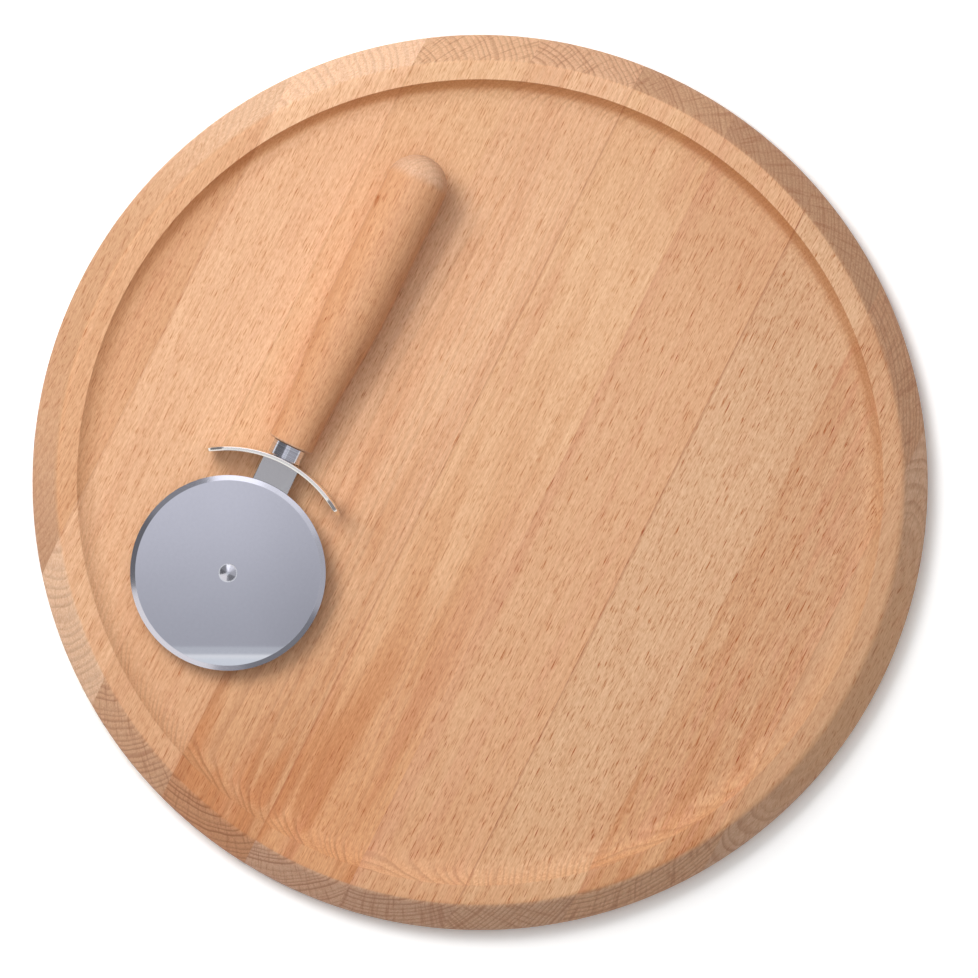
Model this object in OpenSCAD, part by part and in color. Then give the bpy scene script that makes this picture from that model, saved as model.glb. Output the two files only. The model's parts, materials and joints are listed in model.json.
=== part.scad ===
// Round beech board for serving pizza, with its wheel cutter lying in the recess.
// Millimetres, +Z up. The origin is the centre of the board's underside.

/* [Board] */
// Outside diameter of the board
board_d = 320; // [300:1:360]
// Thickness of the board at its rim
board_t = 18; // [15:0.5:30]
// Width of the sloping outer edge, seen from above
bevel_w = 9.5; // [5:0.1:14]
// Height of the sloping outer edge
bevel_h = 10; // [5:0.1:11]
// Width of the flat top of the rim
rim_w = 7.2; // [4:0.1:14]
// Depth of the serving recess below the rim
recess_depth = 4.2; // [2:0.1:6]
// Radius of the hollow curve that climbs from the recess to the rim
cove_r = 11.7; // [8:0.1:18]
// Rounding of the two edges of the slope
slope_edge_r = 2; // [0.4:0.1:2.5]
// Rounding of the edge under the board
base_edge_r = 1; // [0.3:0.1:1.5]

/* [Staves] */
// How much wider than the board the glued panel was before turning, on each side
panel_spare = 6.05; // [4:0.05:12]
// How far the glued panel was set off the board's centre, across the grain
panel_shift = 4.15; // [-5:0.05:5]
// Direction of the grain, counter-clockwise from +X
grain_turn = 63.35; // [0:0.05:180]

/* [Cutter place] */
// Distance from the wheel's edge to the foot of the hollow curve, seen from above
wheel_margin = 4.75; // [1:0.05:14]
// Distance from the handle's butt to the foot of the hollow curve, seen from above
butt_margin = 15.85; // [4:0.05:24]
// Direction in which the handle points, counter-clockwise from +X
cutter_turn = 64.05; // [0:0.05:360]
// Air left between the cutter and the board under it
rest_clear = 0.1; // [0.05:0.05:0.3]

/* [Wheel] */
// Diameter of the cutting wheel
wheel_d = 69.4; // [60:0.1:72]
// Thickness of the wheel
wheel_t = 1; // [0.8:0.1:1.6]
// Width of the ground bevel on each face
grind_w = 1.8; // [1:0.1:4]
// Thickness left at the cutting edge
cut_edge_t = 0.1; // [0.05:0.01:0.3]

/* [Rivet] */
// Diameter of the rivet's shank
rivet_d = 4; // [3:0.1:4.6]
// Diameter of the rivet's domed head
head_d = 6.7; // [6:0.1:8.4]
// Height of the domed head
head_h = 1.5; // [1:0.1:2.4]
// Diameter of the closed end behind the arm
tail_d = 6; // [5.4:0.1:7]
// Height of the closed end behind the arm
tail_h = 1.2; // [0.8:0.1:1.8]
// Diameter of the spacer between the arm and the wheel
spacer_d = 9; // [7:0.1:12]
// Thickness of the spacer between the arm and the wheel
spacer_t = 0.6; // [0.4:0.1:1.2]
// Diameter of the washer behind the arm
washer_d = 8; // [7.2:0.1:11]
// Thickness of the washer behind the arm
washer_t = 0.6; // [0.4:0.1:1]
// Gap all round between the rivet and the wheel's bore
spin_clear = 0.04; // [0.02:0.01:0.08]
// Gap between the wheel and what lies on each side of it
side_clear = 0.08; // [0.04:0.01:0.15]
// Gap all round between a fixed piece and its hole
hole_clear = 0.1; // [0.05:0.01:0.2]

/* [Arm and guard] */
// Width of the flat arm that carries the wheel
arm_w = 13.6; // [11:0.1:16]
// Thickness of the flat arm
arm_t = 2; // [1.5:0.1:3]
// Width of the tang that runs up into the handle
tang_w = 5; // [3.5:0.1:6]
// Length of the tang inside the handle
tang_l = 55; // [30:1:80]
// Gap from the wheel's edge out to the guard
guard_gap = 8.9; // [7:0.1:13]
// Thickness of the guard's strip
guard_t = 1.4; // [1:0.1:2]
// Width of the guard across its tips
guard_span = 53.6; // [42:0.1:60]
// Height of the guard's strip, square to the wheel
guard_h = 17; // [14:0.1:19]
// Rounding of the guard's corners
guard_corner_r = 6.4; // [1:0.1:6.8]

/* [Handle] */
// Diameter of the handle's round butt
handle_d = 22.2; // [21:0.1:26]
// Diameter of the handle's neck at the collar
neck_d = 16.3; // [15:0.1:19]
// Length of the handle
handle_l = 112.8; // [100:0.1:116]
// Length of the straight neck
neck_l = 8; // [4:0.1:14]
// Length of the curve from the neck to the full diameter
swell_l = 50; // [30:0.1:60]
// Rounding of the neck's end
neck_edge_r = 0.8; // [0.3:0.1:2]
// Depth of the blind hole beyond the tang's end
socket_spare = 2; // [1:0.1:5]
// Diameter of the steel collar
collar_d = 12; // [10:0.1:14]
// Length of the steel collar
collar_l = 5.6; // [4:0.1:9]
// Chamfer on both ends of the collar
collar_chamfer = 0.4; // [0.2:0.1:0.8]

/* [Hidden] */

$fn = 96;
stave_count = 9;
edge_steps = 5;
swell_steps = 16;
// Cuts run this far past the face that they leave through
overrun = 1;

board_r = board_d / 2;
recess_floor = board_t - recess_depth;
rim_inner_r = board_r - bevel_w - rim_w;
cove_w = sqrt(pow(cove_r, 2) - pow(cove_r - recess_depth, 2));
plateau_r = rim_inner_r - cove_w;
stave_w = (board_d + 2 * panel_spare) / stave_count;

wheel_r = wheel_d / 2;
wheel_low = arm_t / 2 + spacer_t + side_clear;
head_low = wheel_low + wheel_t + side_clear;
washer_low = -arm_t / 2 - washer_t;
head_sphere_r = (pow(head_d / 2, 2) + pow(head_h, 2)) / (2 * head_h);

guard_inner_r = wheel_r + guard_gap;
guard_outer_r = guard_inner_r + guard_t;
// Where the guard's straight lower edge ends, measured along the handle's axis
guard_low_x = sqrt(pow(guard_inner_r, 2) - pow(guard_span / 2 - guard_corner_r, 2));
collar_x = guard_outer_r;
handle_x = collar_x + collar_l;
tang_end_x = handle_x + tang_l;
tang_bore_d = sqrt(pow(tang_w, 2) + pow(arm_t, 2)) + 2 * hole_clear;

handle_r = handle_d / 2;
neck_r = neck_d / 2;
butt_x = handle_x + handle_l - handle_r;

// The cutter lies where its wheel and its butt keep their margins, or through the board's
// centre where the recess is too small for that
wheel_reach = plateau_r - wheel_r - wheel_margin;
butt_reach = plateau_r - handle_r - butt_margin;
cutter_along = (pow(butt_reach, 2) - pow(wheel_reach, 2) - pow(butt_x, 2)) / (2 * butt_x);
cutter_aside = sqrt(max(0, pow(wheel_reach, 2) - pow(cutter_along, 2)));

// Outline of the handle's side from the neck to the butt, as [along the axis, radius]
function smooth(share) = share * share * (3 - 2 * share);
swell_line = [
    for (i = [0:swell_steps])
        [handle_x + neck_l + swell_l * i / swell_steps,
         neck_r + (handle_r - neck_r) * smooth(i / swell_steps)]
];

// The cutter rests on the guard's lower edge and on the handle where the swell first touches
rest_tilt = atan(max([
    for (p = swell_line) (p[1] - guard_h / 2) / (p[0] - guard_low_x)
]));
rest_lift = rest_clear + guard_h / 2 * cos(rest_tilt) - guard_low_x * sin(rest_tilt);

stave_tones = [
    "burlywood", "navajowhite", "wheat", "burlywood", "navajowhite",
    "tan", "burlywood", "tan", "navajowhite"
];

function unit(v) = v / norm(v);

// Points of the arc that rounds a corner of an outline
function round_corner(before, corner, after, radius) =
    let (
        to_before = unit(before - corner),
        to_after = unit(after - corner),
        half = acos(to_before * to_after) / 2,
        centre = corner + unit(to_before + to_after) * radius / sin(half),
        first = corner + to_before * radius / tan(half) - centre,
        last = corner + to_after * radius / tan(half) - centre,
        start = atan2(first[1], first[0]),
        full_turn = atan2(last[1], last[0]) - start,
        turn = full_turn > 180 ? full_turn - 360 : full_turn < -180 ? full_turn + 360 : full_turn
    )
    [for (i = [0:edge_steps])
        centre + radius * [cos(start + turn * i / edge_steps), sin(start + turn * i / edge_steps)]];

// Board

module board_section() {
    base_middle = [0, 0];
    base_corner = [board_r, 0];
    slope_foot = [board_r, board_t - bevel_h];
    slope_top = [board_r - bevel_w, board_t];
    rim_middle = [0, board_t];
    difference() {
        polygon(concat(
            [base_middle],
            round_corner(base_middle, base_corner, slope_foot, base_edge_r),
            round_corner(base_corner, slope_foot, slope_top, slope_edge_r),
            round_corner(slope_foot, slope_top, rim_middle, slope_edge_r),
            [rim_middle]
        ));
        translate([0, recess_floor])
            square([plateau_r, recess_depth + overrun]);
        intersection() {
            translate([plateau_r, recess_floor + cove_r])
                circle(cove_r);
            translate([plateau_r, recess_floor])
                square([cove_r, recess_depth + overrun]);
        }
    }
}

function seam(i) = panel_shift + (i - stave_count / 2) * stave_w;

// One glued stave: the slice of the turned board between two seams
module stave(i) {
    low = i == 1 ? -board_r - overrun : seam(i - 1);
    high = i == stave_count ? board_r + overrun : seam(i);
    color(stave_tones[i - 1])
    intersection() {
        rotate_extrude()
            board_section();
        rotate([0, 0, grain_turn - 90])
        translate([low, -board_r - overrun, -overrun])
            cube([high - low, board_d + 2 * overrun, board_t + 2 * overrun]);
    }
}

// Cutter, drawn with the wheel's axle on Z and the handle along X

module place_cutter() {
    rotate([0, 0, cutter_turn])
    translate([cutter_along, cutter_aside, recess_floor + rest_lift])
    rotate([0, -rest_tilt, 0])
        children();
}

module ring(outer_d, inner_d, low, height) {
    translate([0, 0, low])
    difference() {
        cylinder(d = outer_d, h = height);
        translate([0, 0, -overrun])
            cylinder(d = inner_d, h = height + 2 * overrun);
    }
}

module wheel() {
    bore_r = rivet_d / 2 + spin_clear;
    color("lightsteelblue")
    place_cutter()
    translate([0, 0, wheel_low])
    rotate_extrude()
        polygon([
            [bore_r, 0],
            [wheel_r - grind_w, 0],
            [wheel_r, (wheel_t - cut_edge_t) / 2],
            [wheel_r, (wheel_t + cut_edge_t) / 2],
            [wheel_r - grind_w, wheel_t],
            [bore_r, wheel_t]
        ]);
}

module wheel_spacer() {
    color("gainsboro")
    place_cutter()
        ring(spacer_d, rivet_d + 2 * hole_clear, arm_t / 2, spacer_t);
}

module rear_washer() {
    color("silver")
    place_cutter()
        ring(washer_d, rivet_d + 2 * hole_clear, washer_low, washer_t);
}

module rivet() {
    color("white")
    place_cutter() {
        translate([0, 0, washer_low])
            cylinder(d = rivet_d, h = head_low - washer_low);
        intersection() {
            translate([0, 0, head_low + head_h - head_sphere_r])
                sphere(head_sphere_r);
            translate([0, 0, head_low])
                cylinder(d = head_d, h = head_h);
        }
        translate([0, 0, washer_low - tail_h])
            cylinder(d = tail_d, h = tail_h);
    }
}

module arm() {
    color("silver")
    place_cutter()
    translate([0, 0, -arm_t / 2])
    linear_extrude(arm_t)
    difference() {
        union() {
            circle(d = arm_w);
            intersection() {
                circle(guard_inner_r);
                translate([0, -arm_w / 2])
                    square([guard_outer_r, arm_w]);
            }
            translate([0, -tang_w / 2])
                square([tang_end_x, tang_w]);
        }
        circle(d = rivet_d + 2 * hole_clear);
    }
}

module rounded_plate(width, height, radius) {
    square([width - 2 * radius, height], center = true);
    square([width, height - 2 * radius], center = true);
    for (x_side = [-1, 1], y_side = [-1, 1])
        translate([x_side * (width / 2 - radius), y_side * (height / 2 - radius)])
            circle(radius);
}

module guard() {
    color("whitesmoke")
    place_cutter()
    difference() {
        intersection() {
            ring(2 * guard_outer_r, 2 * guard_inner_r, -guard_h / 2, guard_h);
            rotate([90, 0, 90])
            linear_extrude(guard_outer_r + overrun)
                rounded_plate(guard_span, guard_h, guard_corner_r);
        }
        translate([guard_inner_r - overrun, -tang_w / 2 - hole_clear, -arm_t / 2 - hole_clear])
            cube([guard_t + 2 * overrun, tang_w + 2 * hole_clear, arm_t + 2 * hole_clear]);
    }
}

module collar() {
    color("lightgray")
    place_cutter()
    translate([collar_x, 0, 0])
    rotate([0, 90, 0])
    rotate_extrude()
        polygon([
            [tang_bore_d / 2, 0],
            [collar_d / 2 - collar_chamfer, 0],
            [collar_d / 2, collar_chamfer],
            [collar_d / 2, collar_l - collar_chamfer],
            [collar_d / 2 - collar_chamfer, collar_l],
            [tang_bore_d / 2, collar_l]
        ]);
}

module handle() {
    neck_end = [0, neck_r];
    side = [for (p = swell_line) [p[0] - handle_x, p[1]]];
    color("burlywood")
    place_cutter()
    translate([handle_x, 0, 0])
    rotate([0, 90, 0])
    difference() {
        union() {
            rotate_extrude()
                polygon([
                    for (p = concat(
                        [[0, 0]],
                        round_corner([0, 0], neck_end, side[0], neck_edge_r),
                        side,
                        [[handle_l - handle_r, handle_r], [handle_l - handle_r, 0]]
                    )) [p[1], p[0]]
                ]);
            translate([0, 0, handle_l - handle_r])
                sphere(handle_r);
        }
        translate([0, 0, -overrun])
            cylinder(d = tang_bore_d, h = tang_l + socket_spare + overrun);
    }
}

stave(1);  // stave_1
stave(2);  // stave_2
stave(3);  // stave_3
stave(4);  // stave_4
stave(5);  // stave_5
stave(6);  // stave_6
stave(7);  // stave_7
stave(8);  // stave_8
stave(9);  // stave_9
handle();
collar();
guard();
arm();
wheel();
wheel_spacer();
rivet();
rear_washer();
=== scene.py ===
"""Looks of a pizza serving board: nine glued beech staves, and a wheel cutter lying in the recess.

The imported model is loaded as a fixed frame. Each visible piece is modelled anew on it, more finely
rounded, and takes its place and motion from it. Metres, +Z up, the origin under the board's middle.
"""

import json
import math
from dataclasses import dataclass

import bpy
from bpy.props import FloatProperty, FloatVectorProperty, PointerProperty
from mathutils import Matrix, Vector


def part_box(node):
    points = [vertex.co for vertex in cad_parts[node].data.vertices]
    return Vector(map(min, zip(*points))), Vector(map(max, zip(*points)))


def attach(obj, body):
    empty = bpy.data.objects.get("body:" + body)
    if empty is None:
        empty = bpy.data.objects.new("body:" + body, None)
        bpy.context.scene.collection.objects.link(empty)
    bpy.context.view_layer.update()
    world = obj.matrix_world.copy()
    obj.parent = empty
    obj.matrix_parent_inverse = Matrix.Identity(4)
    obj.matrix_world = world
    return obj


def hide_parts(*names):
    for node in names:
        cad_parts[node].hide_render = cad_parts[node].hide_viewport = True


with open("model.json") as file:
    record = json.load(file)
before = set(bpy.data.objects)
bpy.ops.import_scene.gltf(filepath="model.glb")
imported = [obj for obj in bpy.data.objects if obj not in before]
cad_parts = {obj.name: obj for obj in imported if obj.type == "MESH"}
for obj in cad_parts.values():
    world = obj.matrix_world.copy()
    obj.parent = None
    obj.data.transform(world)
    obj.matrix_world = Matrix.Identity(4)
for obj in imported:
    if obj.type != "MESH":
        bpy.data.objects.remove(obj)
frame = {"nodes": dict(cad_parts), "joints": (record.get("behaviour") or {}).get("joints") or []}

bl_info = {
    "name": "Pizza board and wheel cutter",
    "version": (1, 0, 0),
    "blender": (4, 5, 0),
    "location": "3D View > Sidebar > Pizza board",
    "description": "Models and finishes a beech pizza board and its wheel cutter",
    "category": "Object",
}

MM = 0.001
IMAGE_PIXELS = 978
STAVES = [f"stave_{number}" for number in range(1, 10)]
X_AXIS = Vector((1, 0, 0))
Z_AXIS = Vector((0, 0, 1))
AT_ORIGIN = Matrix()
MERGE_GAP = 0.000001

# Steps in a full turn
ROUND_STEPS = 288
HANDLE_STEPS = 128
SMALL_STEPS = 96
HOLE_STEPS = 48
FORMER_STEPS = 720

# Angles in degrees: an edge that bends more stays sharp in the shading, or gets rounded
CREASE = 30.0
BOARD_CREASE = 50.0
HANDLE_CREASE = 40.0
WHEEL_CREASE = 6.0
ROUNDED_FROM = 40.0


# Properties

def linear(shown):
    """Linear light for one 8-bit value of a screen colour."""
    part = shown / 255
    return part / 12.92 if part <= 0.04045 else ((part + 0.055) / 1.055) ** 2.4


def screen(red, green, blue):
    """A colour given as the 8-bit values that a screen shows."""
    return (linear(red), linear(green), linear(blue))


def length(name, description, millimetres):
    return FloatProperty(
        name=name, description=description, default=millimetres * MM,
        unit="LENGTH", subtype="DISTANCE", precision=5)


def turn(name, description, degrees):
    return FloatProperty(
        name=name, description=description, default=math.radians(degrees),
        unit="ROTATION", subtype="ANGLE", precision=5)


def share(name, description, default):
    return FloatProperty(name=name, description=description, default=default, min=0, max=4, precision=3)


def colour(name, description, red, green, blue):
    return FloatVectorProperty(
        name=name, description=description, default=screen(red, green, blue),
        subtype="COLOR", size=3, min=0, max=1)


class BoardSizes(bpy.types.PropertyGroup):
    """Sizes of the board"""

    slope_w: length("Slope width", "Seen from above", 9.5)
    slope_h: length("Slope height", "Height of the sloping outer edge", 10)
    rim_w: length("Rim width", "Flat top of the rim", 7.2)
    recess_depth: length("Recess depth", "Below the rim", 4.2)
    cove_r: length("Cove radius", "Hollow curve up to the rim", 11.7)
    slope_edge_r: length("Slope edge radius", "Both edges of the slope", 3.5)
    rim_edge_r: length("Rim edge radius", "Where the rim drops into the recess", 0.4)
    base_edge_r: length("Base edge radius", "Edge under the board", 1)
    stave_w: length("Stave width", "One glued stave", 36.9)
    panel_shift: length("Panel shift", "How far the panel sits off the middle, across the grain", 4.15)
    grain_turn: turn("Grain direction", "Counter-clockwise from +X", 63.35)


class CutterSizes(bpy.types.PropertyGroup):
    """Sizes of the wheel cutter"""

    wheel_d: length("Wheel diameter", "Across the cutting edge", 69.4)
    wheel_t: length("Wheel thickness", "Inside the ground edge", 1)
    grind_w: length("Ground edge", "Width of the bevel on each face", 1.8)
    cut_edge_t: length("Cutting edge", "Thickness left at the edge", 0.1)
    rivet_d: length("Rivet diameter", "Shank of the rivet", 4)
    head_d: length("Rivet head diameter", "Domed head", 6.7)
    head_h: length("Rivet head height", "Domed head", 1.5)
    tail_d: length("Rivet tail diameter", "Closed end behind the arm", 6)
    tail_h: length("Rivet tail height", "Closed end behind the arm", 1.2)
    spacer_t: length("Spacer thickness", "Between arm and wheel", 0.6)
    washer_t: length("Washer thickness", "Behind the arm", 0.6)
    spin_clear: length("Bore clearance", "All round between the rivet and the wheel's bore", 0.04)
    side_clear: length("Side clearance", "On each side of the wheel", 0.08)
    hole_clear: length("Hole clearance", "All round between a fixed piece and its hole", 0.1)
    arm_w: length("Arm width", "Flat arm", 13.6)
    arm_t: length("Arm thickness", "Flat arm", 2)
    tang_w: length("Tang width", "Tang that runs into the handle", 5)
    tang_l: length("Tang length", "Inside the handle", 55)
    guard_gap: length("Guard gap", "From the wheel's edge out to the guard", 8.9)
    guard_t: length("Guard thickness", "Strip of the guard", 1.4)
    guard_span: length("Guard span", "Across the guard's tips", 53.6)
    guard_h: length("Guard height", "Width of the strip, square to the wheel", 17)
    guard_corner_r: length("Guard corner radius", "Rounding of the tips", 6.4)
    handle_d: length("Handle diameter", "Round butt", 22.2)
    neck_d: length("Neck diameter", "At the collar", 16.3)
    handle_l: length("Handle length", "From neck to butt", 112.8)
    neck_l: length("Neck length", "Straight part of the neck", 8)
    swell_l: length("Swell length", "Curve from the neck to the full diameter", 50)
    neck_edge_r: length("Neck edge radius", "End of the neck", 0.8)
    socket_spare: length("Spare depth", "Blind hole beyond the tang", 2)
    collar_d: length("Collar diameter", "Steel collar", 12)
    collar_l: length("Collar length", "Steel collar", 5.6)
    collar_edge: length("Collar chamfer", "Both ends of the collar", 0.4)
    sheet_edge: length("Sheet edge", "Rounding of the arm and the rivet", 0.2)
    guard_edge: length("Guard edge", "Rounding of the strip's edges", 0.5)


class Finishes(bpy.types.PropertyGroup):
    """Colours and finishes"""

    orange: colour("Orange wood", "Streaks in the beech", 205, 134, 84)
    pink: colour("Pink wood", "Pink zones in the beech", 220, 156, 120)
    # Painted shade: darkens the far side's curve up to the rim, and the recess beside it
    painted_hollow_shade: colour("Hollow tint", "Far side's curve from the rim to the recess", 216, 190, 164)
    ring: colour("Ring", "Lines between the growth rings", 160, 94, 56)
    seam: colour("Seam", "Glue lines", 180, 106, 64)
    satin: colour("Satin steel", "Arm", 193, 192, 192)
    bright: colour("Bright steel", "Guard", 250, 247, 240)
    mirror: colour("Polished steel", "Wheel, collar and rivet", 214, 216, 224)
    wood_gloss: share("Wood roughness", "Oiled wood", 0.5)
    satin_gloss: share("Satin roughness", "Arm and rivet", 0.2)
    ground_gloss: share("Ground roughness", "Guard, collar and the wheel's edge", 0.14)
    mirror_gloss: share("Mirror roughness", "Polished wheel", 0.012)


class StageSettings(bpy.types.PropertyGroup):
    """Camera and light"""

    camera_height: length("Camera height", "Over the floor", 2000)
    camera_x: length("Camera X", "Where the camera stands over the board", 3.19)
    camera_y: length("Camera Y", "Where the camera stands over the board", -2.32)
    pixel_w: length("Pixel size", "One pixel of the photograph at the scale height", 1 / 2.8)
    focus_height: length("Scale height", "Height over the floor at which the pixel size holds", 8)
    lamp_turn: turn("Lamp direction", "Where both lamps stand, from +X", 132)
    key_rise: turn("Key elevation", "Above the horizon", 52)
    key_distance: length("Key distance", "From the board", 1600)
    key_size: length("Key size", "Width of the square lamp", 720)
    key_level: share("Key level", "Share of full light that a face turned to it gets", 0.56)
    top_rise: turn("Top light elevation", "Above the horizon", 82)
    top_distance: length("Top light distance", "From the board", 1300)
    top_size: length("Top light size", "Width of the square lamp", 1200)
    top_level: share("Top light level", "Share of full light that a face turned to it gets", 0.43)
    sky_level: share("Sky level", "Share of full light that the surroundings give", 0.2)
    floor_w: length("Floor width", "Square floor", 6000)
    floor_level: share("Floor level", "Whiteness of the floor", 0.9)
    floor_lift: share("Floor lift", "How bright the floor looks, as a share of its light", 1.25)
    floor_near: length("Lit radius", "Within it the floor shows its own light and shadow", 200)
    floor_far: length("White radius", "From it on the floor looks plain white", 420)
    card_height: length("Card height", "Height of the cards that the steel mirrors", 2300)
    card_low: length("Card foot", "Height of the ring's lower edge", 300)
    card_near: length("Ceiling radius", "Round grey ceiling that the wheel mirrors", 600)
    card_far: length("Card radius", "Outer edge of the ring of cards round the ceiling", 2500)
    band_drop: length("Band place", "How far below its middle the wheel mirrors the pale band", 28.5)
    band_step: length("Band step", "Soft step to the pale band, on the ceiling", 2)


GROUPS = {"board": BoardSizes, "cutter": CutterSizes, "finishes": Finishes, "stage": StageSettings}


def settings(group):
    """The property group of that name in this scene."""
    return getattr(bpy.context.scene, "pizza_board_" + group)


# Shader building

class Wire:
    """One output of a shader node. Python's operators add the Math nodes for numbers."""

    def __init__(self, paint, socket):
        self.paint = paint
        self.socket = socket

    def __add__(self, other):
        return self.paint.math("ADD", self, other)

    def __radd__(self, other):
        return self.paint.math("ADD", other, self)

    def __sub__(self, other):
        return self.paint.math("SUBTRACT", self, other)

    def __rsub__(self, other):
        return self.paint.math("SUBTRACT", other, self)

    def __mul__(self, other):
        return self.paint.math("MULTIPLY", self, other)

    def __rmul__(self, other):
        return self.paint.math("MULTIPLY", other, self)

    def __truediv__(self, other):
        return self.paint.math("DIVIDE", self, other)

    def __pow__(self, other):
        return self.paint.math("POWER", self, other)

    def __abs__(self):
        return self.paint.math("ABSOLUTE", self)


class Paint:
    """The nodes of one material, or of the world."""

    def __init__(self, owner):
        owner.use_nodes = True
        self.owner = owner
        self.nodes = owner.node_tree.nodes
        self.links = owner.node_tree.links
        self.nodes.clear()

    def set(self, socket, given):
        """Gives a socket a value, or links an output to it."""
        if isinstance(given, Wire):
            self.links.new(given.socket, socket)
        elif socket.type == "RGBA" and len(given) == 3:
            socket.default_value = (*given, 1)
        else:
            socket.default_value = given

    def add(self, kind, choices, sockets, output=0):
        """Adds a node: its type, its settings, then its sockets. A tuple of outputs gives a list."""
        node = self.nodes.new("ShaderNode" + kind)
        for name, choice in choices.items():
            setattr(node, name, choice)
        for name, given in sockets.items():
            self.set(node.inputs[name], given)
        if isinstance(output, tuple):
            return [Wire(self, node.outputs[name]) for name in output]
        return Wire(self, node.outputs[output])

    def finish(self, shader):
        """Links a shader to the output and gives what it was painted on."""
        kind = "World" if isinstance(self.owner, bpy.types.World) else "Material"
        self.add("Output" + kind, {}, {"Surface": shader}, output=())
        return self.owner

    def shown(self):
        """1 where the camera looks, straight or by gloss or glass, and 0 where light is gathered."""
        rays = ("Is Camera Ray", "Is Glossy Ray", "Is Transmission Ray")
        camera, gloss, glass = self.add("LightPath", {}, {}, output=rays)
        return self.math("MAXIMUM", self.math("MAXIMUM", camera, gloss), glass)

    def math(self, operation, *terms):
        return self.add("Math", {"operation": operation}, dict(enumerate(terms)))

    def smooth(self, value, low, high):
        """0 below low, 1 above high, and a soft step between."""
        return self.add(
            "MapRange", {"interpolation_type": "SMOOTHSTEP"},
            {"Value": value, "From Min": low, "From Max": high})

    def mix(self, factor, first, second, blend="MIX"):
        """Mixes two colours."""
        return self.add(
            "Mix", {"data_type": "RGBA", "blend_type": blend, "clamp_factor": True},
            {0: factor, 6: first, 7: second}, output=2)

    def scaled(self, tint, value):
        """A colour times a number."""
        return self.add("VectorMath", {"operation": "SCALE"}, {"Vector": tint, "Scale": value})

    def place(self, at=AT_ORIGIN):
        """Object coordinates in millimetres, as seen from a place."""
        coordinates = self.add("TexCoord", {}, {}, output="Object")
        return self.add("Mapping", {"vector_type": "TEXTURE"}, {
            "Vector": coordinates, "Location": at.translation, "Rotation": at.to_euler(),
            "Scale": (MM, MM, MM)})

    def split(self, vector):
        return self.add("SeparateXYZ", {}, {"Vector": vector}, output=("X", "Y", "Z"))

    def join(self, x, y, z):
        return self.add("CombineXYZ", {}, {"X": x, "Y": y, "Z": z})

    def hypot(self, x, y):
        return self.math("SQRT", x * x + y * y)

    def cloud(self, place, density, detail=2.0, seed=0.0):
        """Soft noise from about -0.5 to 0.5. density is its blobs a millimetre on each axis."""
        spot = self.add(
            "VectorMath", {"operation": "MULTIPLY_ADD"}, {0: place, 1: density, 2: (seed, seed, seed)})
        return self.add("TexNoise", {}, {"Vector": spot, "Scale": 1.0, "Detail": detail}) - 0.5


# Wood

# Noise in beech: its blobs a millimetre across, along and above the grain
WANDER = (0.02, 0.006, 0.03)
RIPPLE = (0.15, 0.03, 0.15)
JITTER = (0.5, 0.1, 0.5)
FIBRE = (2.4, 0.5, 2.4)
THREAD = (1.9, 0.05, 1.9)

# How much a change of the texture shows in red, green and blue, so that darker wood gets no greyer
TEXTURE_SHARES = (0.55, 1.0, 1.3)


@dataclass
class Cut:
    """How one piece of beech was cut from its log, and what it shows. Lengths are in millimetres.

    tone and low are its colours at the far and the near end of the grain, end and low_end those of its
    cut ends. pith is the log's middle, across and above the piece's, lean its drift along the grain and
    bend how far it wanders. side is how light the slope's side is, seed sets the chance, and the fields
    that don't name a width, length, gap or lean say how strongly a mark shows.
    """

    tone: tuple
    low: tuple
    end: tuple
    low_end: tuple
    pith: tuple
    lean: tuple = (0.0, 0.0)
    bend: float = 3.0
    ring_w: float = 1.7
    rings: float = 0.06
    end_rings: float = 0.5
    end_rays: float = 0.42
    fleck_gap: float = 0.56
    fleck_l: float = 5.8
    fleck_lean: float = -0.4
    flecks: float = 0.6
    fibres: float = 0.65
    orange: float = 0.2
    pink: float = 0.15
    streak_w: float = 5.0
    streak_l: float = 100.0
    pink_edge: float = 0.0
    side: float = 1.0
    seam: float = 0.1
    seed: float = 0.0


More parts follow.
